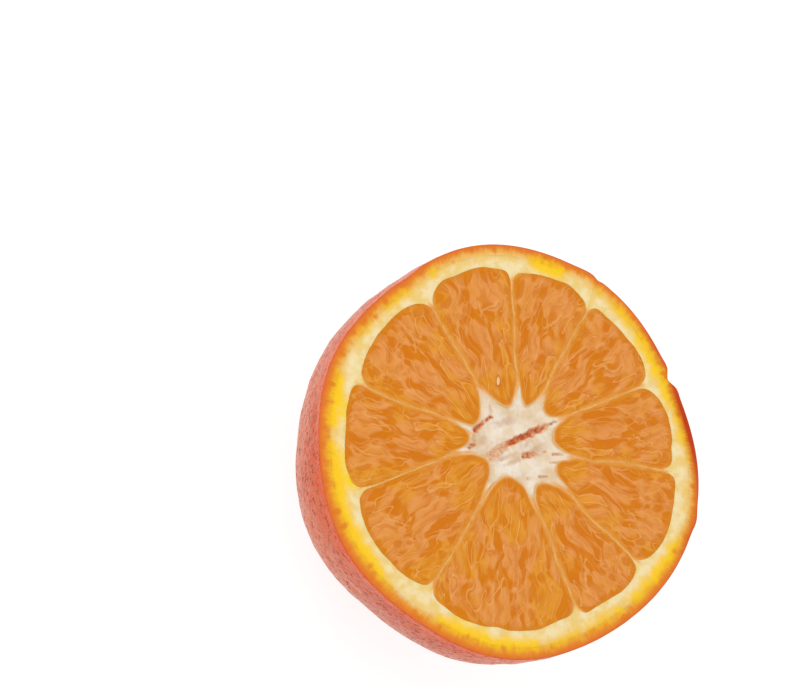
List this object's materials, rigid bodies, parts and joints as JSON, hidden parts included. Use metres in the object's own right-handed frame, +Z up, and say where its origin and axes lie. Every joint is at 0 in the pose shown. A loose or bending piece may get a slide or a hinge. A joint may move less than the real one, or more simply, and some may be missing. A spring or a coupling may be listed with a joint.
{
  "type": "tangelo half",
  "caption": "Half of a tangelo citrus fruit, cut across, lying on its rounded end with the pulp, membranes and white core facing up.",
  "frame": {"origin": "centre of the small flat spot at the rounded end, on the fruit's own axis", "axes": "+Z up out of the cut face along the fruit's axis; -Y is the side that faces the viewer in the picture"},
  "size_m": [0.0778, 0.0781, 0.0408],
  "materials": {
    "rind": "satin, pitted red-orange skin of the fruit",
    "pith": "soft, cream to white, matte with a slight sheen where wet",
    "pulp": "wet, slightly see-through juice cells"
  },
  "bodies": {
    "root": {"peel_and_membranes": "rind", "segment_01": "pulp", "segment_02": "pulp", "segment_03": "pulp", "segment_04": "pulp", "segment_05": "pulp", "segment_06": "pulp", "segment_07": "pulp", "segment_08": "pulp", "segment_09": "pulp", "segment_10": "pulp"}
  },
  "joints": []
}
